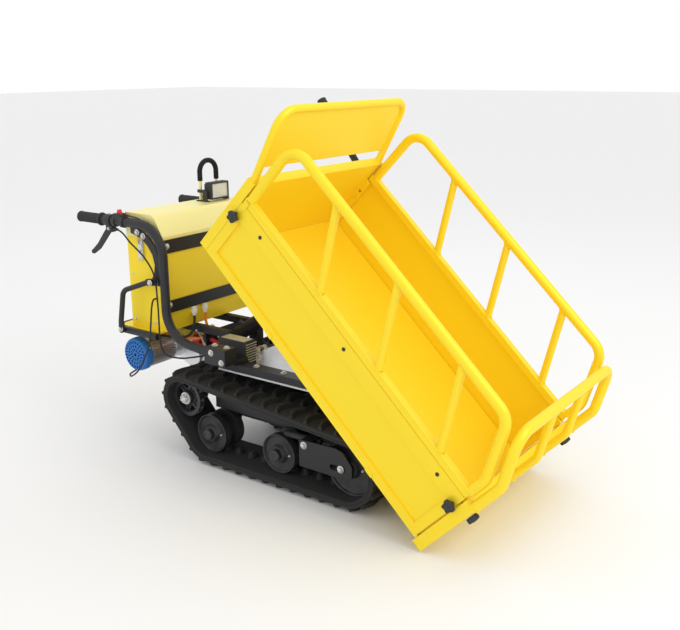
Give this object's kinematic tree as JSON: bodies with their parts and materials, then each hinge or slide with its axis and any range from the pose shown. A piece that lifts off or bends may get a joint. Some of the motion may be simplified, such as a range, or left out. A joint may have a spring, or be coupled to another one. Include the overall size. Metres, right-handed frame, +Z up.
{
  "type": "tracked power wheelbarrow",
  "caption": "Walk-behind electric power wheelbarrow on rubber tracks, with a tipping tray, folding drop sides and gate, battery console and handlebars.",
  "frame": {"origin": "on the ground, at the middle of the machine's length and width as it stands with the tray tipped", "axes": "+X forwards to the end that the tray tips out over, +Y to the machine's left, +Z up"},
  "size_m": [1.8258, 0.7406, 1.2509],
  "materials": {
    "yellow_paint": "gloss powder coat",
    "cover_paint": "pale yellow gloss paint",
    "black_paint": "black powder coat",
    "red_paint": "gloss",
    "rubber": "new, slightly glossy",
    "grip_rubber": "matt, ribbed",
    "zinc": "zinc plated",
    "steel": "satin",
    "chrome": "polished",
    "aluminium": "cast, satin",
    "cast_iron": "black painted casting",
    "blue_plastic": "moulded",
    "red_plastic": "moulded",
    "black_plastic": "moulded",
    "white_plastic": "moulded",
    "orange_cable": "cable sheath",
    "cable_black": "cable sheath",
    "battery_case": "moulded",
    "lamp_glass": "clear lens in a black case"
  },
  "bodies": {
    "chassis": {"chassis_frame": "black_paint", "deck_plate": "aluminium", "controller_box": "black_plastic", "track_frames": "black_paint", "track_belt_left": "rubber", "track_belt_right": "rubber", "tensioner_plates": "black_paint", "wheel_axles": "zinc", "handlebar_left": "black_paint", "handlebar_right": "black_paint", "hand_grips": "grip_rubber", "lever_perches": "black_plastic", "control_cables": "cable_black", "battery_box": "yellow_paint", "battery_pack": "battery_case", "console_bands": "black_paint", "toggle_latches": "steel", "platform": "yellow_paint", "brace_links": "black_paint", "motor_body": "aluminium", "fan_cover": "blue_plastic", "gearbox": "aluminium", "parking_brake": "red_paint", "wiring": "orange_cable", "cable_glands": "white_plastic", "frame_bolts": "zinc"},
    "sprocket_left_body": {"sprocket_left": "cast_iron"},
    "sprocket_right_body": {"sprocket_right": "cast_iron"},
    "idler_left_body": {"idler_left": "cast_iron"},
    "idler_right_body": {"idler_right": "cast_iron"},
    "road_wheel_front_left_body": {"road_wheel_front_left": "cast_iron"},
    "road_wheel_front_right_body": {"road_wheel_front_right": "cast_iron"},
    "road_wheel_rear_left_body": {"road_wheel_rear_left": "cast_iron"},
    "road_wheel_rear_right_body": {"road_wheel_rear_right": "cast_iron"},
    "motor_rotor_body": {"motor_rotor": "steel"},
    "brake_lever_left_body": {"brake_lever_left": "black_plastic"},
    "brake_lever_right_body": {"brake_lever_right": "black_plastic"},
    "throttle_trigger_body": {"throttle_trigger": "red_plastic"},
    "direction_switch_body": {"direction_switch": "red_plastic"},
    "lamp_head_body": {"lamp_head": "lamp_glass"},
    "lift_barrel_body": {"lift_barrel": "black_paint"},
    "lift_rod_body": {"lift_rod": "chrome"},
    "cover": {"battery_lid": "cover_paint", "lamp_bracket": "black_paint"},
    "tray": {"tray_floor": "yellow_paint", "tray_rear_wall": "yellow_paint", "headboard": "yellow_paint", "tipping_handle": "black_paint"},
    "drop_side_left": {"side_wall_left": "yellow_paint", "side_hoop_left": "yellow_paint"},
    "drop_side_right": {"side_wall_right": "yellow_paint", "side_hoop_right": "yellow_paint"},
    "front_gate": {"gate": "yellow_paint", "gate_hoop": "yellow_paint"},
    "knob_rear_left_body": {"knob_rear_left": "black_plastic"},
    "knob_rear_right_body": {"knob_rear_right": "black_plastic"},
    "knob_front_left_body": {"knob_front_left": "black_plastic"},
    "knob_front_right_body": {"knob_front_right": "black_plastic"},
    "knob_gate_left_body": {"knob_gate_left": "black_plastic"},
    "knob_gate_right_body": {"knob_gate_right": "black_plastic"}
  },
  "joints": [
    {"name": "tray_tip", "type": "hinge", "parent": "chassis", "child": "tray", "pos_m": [0.155, 0, 0.403], "axis": [0, 1, 0], "range_deg": [-44, 0]},
    {"name": "lift_swing", "type": "hinge", "parent": "chassis", "child": "lift_barrel_body", "pos_m": [-0.427, 0.015, 0.374], "axis": [0, 1, 0], "range_deg": [0, 27]},
    {"name": "lift_slide", "type": "slide", "parent": "lift_barrel_body", "child": "lift_rod_body", "axis": [0.8328, 0, 0.5536], "range_m": [-0.161, 0]},
    {"name": "side_fold_left", "type": "hinge", "parent": "tray", "child": "drop_side_left", "pos_m": [-0.18432, 0.345, 0.80019], "axis": [0.7193, 0, -0.6947], "range_deg": [-90, 0]},
    {"name": "side_fold_right", "type": "hinge", "parent": "tray", "child": "drop_side_right", "pos_m": [-0.18432, -0.345, 0.80019], "axis": [0.7193, 0, -0.6947], "range_deg": [0, 90]},
    {"name": "gate_fold", "type": "hinge", "parent": "tray", "child": "front_gate", "pos_m": [0.59252, 0, 0.03192], "axis": [0, 1, 0], "range_deg": [0, 90]},
    {"name": "knob_rear_left_turn", "type": "hinge", "parent": "drop_side_left", "child": "knob_rear_left_body", "pos_m": [-0.05624, 0.35, 0.91699], "axis": [0, 1, 0], "continuous": true},
    {"name": "knob_front_left_turn", "type": "hinge", "parent": "drop_side_left", "child": "knob_front_left_body", "pos_m": [0.70698, 0.35, 0.17996], "axis": [0, 1, 0], "continuous": true},
    {"name": "knob_gate_left_turn", "type": "hinge", "parent": "front_gate", "child": "knob_gate_left_body", "pos_m": [0.75611, 0.323, 0.15338], "axis": [0.7193, 0, -0.6947], "continuous": true},
    {"name": "sprocket_left_spin", "type": "hinge", "parent": "chassis", "child": "sprocket_left_body", "pos_m": [-0.414, 0.19, 0.221], "axis": [0, 1, 0], "continuous": true},
    {"name": "idler_left_spin", "type": "hinge", "parent": "chassis", "child": "idler_left_body", "pos_m": [0.288, 0.19, 0.131], "axis": [0, 1, 0], "continuous": true},
    {"name": "wheel_front_left_spin", "type": "hinge", "parent": "chassis", "child": "road_wheel_front_left_body", "pos_m": [-0.006, 0.19, 0.107], "axis": [0, 1, 0], "continuous": true},
    {"name": "wheel_rear_left_spin", "type": "hinge", "parent": "chassis", "child": "road_wheel_rear_left_body", "pos_m": [-0.311, 0.19, 0.107], "axis": [0, 1, 0], "continuous": true},
    {"name": "brake_lever_left_squeeze", "type": "hinge", "parent": "chassis", "child": "brake_lever_left_body", "pos_m": [-0.751, 0.255, 0.797], "axis": [0, 1, 0], "range_deg": [0, 25], "stiffness_Nm_per_rad": 1.5, "springref_deg": -11.46},
    {"name": "knob_rear_right_turn", "type": "hinge", "parent": "drop_side_right", "child": "knob_rear_right_body", "pos_m": [-0.05624, -0.35, 0.91699], "axis": [0, 1, 0], "continuous": true},
    {"name": "knob_front_right_turn", "type": "hinge", "parent": "drop_side_right", "child": "knob_front_right_body", "pos_m": [0.70698, -0.35, 0.17996], "axis": [0, 1, 0], "continuous": true},
    {"name": "knob_gate_right_turn", "type": "hinge", "parent": "front_gate", "child": "knob_gate_right_body", "pos_m": [0.75611, -0.323, 0.15338], "axis": [0.7193, 0, -0.6947], "continuous": true},
    {"name": "sprocket_right_spin", "type": "hinge", "parent": "chassis", "child": "sprocket_right_body", "pos_m": [-0.414, -0.19, 0.221], "axis": [0, 1, 0], "continuous": true},
    {"name": "idler_right_spin", "type": "hinge", "parent": "chassis", "child": "idler_right_body", "pos_m": [0.288, -0.19, 0.131], "axis": [0, 1, 0], "continuous": true},
    {"name": "wheel_front_right_spin", "type": "hinge", "parent": "chassis", "child": "road_wheel_front_right_body", "pos_m": [-0.006, -0.19, 0.107], "axis": [0, 1, 0], "continuous": true},
    {"name": "wheel_rear_right_spin", "type": "hinge", "parent": "chassis", "child": "road_wheel_rear_right_body", "pos_m": [-0.311, -0.19, 0.107], "axis": [0, 1, 0], "continuous": true},
    {"name": "brake_lever_right_squeeze", "type": "hinge", "parent": "chassis", "child": "brake_lever_right_body", "pos_m": [-0.751, -0.255, 0.797], "axis": [0, 1, 0], "range_deg": [0, 25], "stiffness_Nm_per_rad": 1.5, "springref_deg": -11.46},
    {"name": "rotor_spin", "type": "hinge", "parent": "chassis", "child": "motor_rotor_body", "pos_m": [-0.657, -0.2, 0.339], "axis": [0, 1, 0], "continuous": true},
    {"name": "throttle_press", "type": "hinge", "parent": "chassis", "child": "throttle_trigger_body", "pos_m": [-0.697, -0.255, 0.851], "axis": [0, 1, 0], "range_deg": [0, 20], "stiffness_Nm_per_rad": 0.05, "springref_deg": -5.73},
    {"name": "direction_tilt", "type": "hinge", "parent": "chassis", "child": "direction_switch_body", "pos_m": [-0.697, 0.255, 0.851], "axis": [0, 1, 0], "range_deg": [-12, 12]},
    {"name": "cover_lift", "type": "hinge", "parent": "chassis", "child": "cover", "pos_m": [-0.693, 0, 0.786], "axis": [0, 1, 0], "range_deg": [-42, 0]},
    {"name": "lamp_tilt", "type": "hinge", "parent": "cover", "child": "lamp_head_body", "pos_m": [-0.615, 0.15, 0.898], "axis": [0, 1, 0], "range_deg": [-40, 10]}
  ],
  "couplings": [
    {"joint": "lift_swing", "follows": "tray_tip", "ratio": -0.6054},
    {"joint": "lift_slide", "follows": "tray_tip", "m_per_rad": 0.2089}
  ]
}
